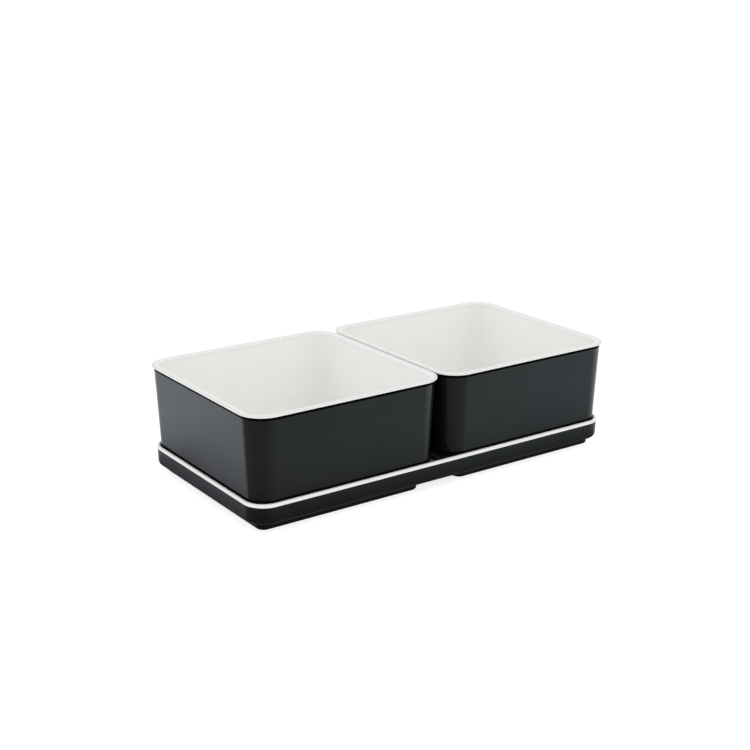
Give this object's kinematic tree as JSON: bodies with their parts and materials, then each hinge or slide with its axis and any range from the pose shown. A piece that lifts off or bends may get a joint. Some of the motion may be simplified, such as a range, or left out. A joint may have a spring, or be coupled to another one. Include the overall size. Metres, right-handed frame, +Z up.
{
  "type": "chip and dip server",
  "caption": "Low rectangular tray carrying square lift-off bowls side by side, black outside and white inside, for serving chips and dips.",
  "frame": {"origin": "on the surface that the tray stands on, under the middle of the tray", "axes": "+X along the tray's length from the left bowl to the right bowl, +Y to the back, +Z up out of the bowls"},
  "size_m": [0.3072, 0.153, 0.0804],
  "materials": {
    "black_outer": "glossy black moulded plastic",
    "white_inner": "glossy warm white moulded plastic"
  },
  "bodies": {
    "tray": {"tray_shell": "black_outer", "tray_liner": "white_inner"},
    "left_bowl": {"left_bowl_shell": "black_outer", "left_bowl_liner": "white_inner"},
    "right_bowl": {"right_bowl_shell": "black_outer", "right_bowl_liner": "white_inner"}
  },
  "joints": [
    {"name": "left_bowl_lift", "type": "slide", "parent": "tray", "child": "left_bowl", "axis": [0, 0, 1], "range_m": [0, 0.1]},
    {"name": "right_bowl_lift", "type": "slide", "parent": "tray", "child": "right_bowl", "axis": [0, 0, 1], "range_m": [0, 0.1]}
  ]
}
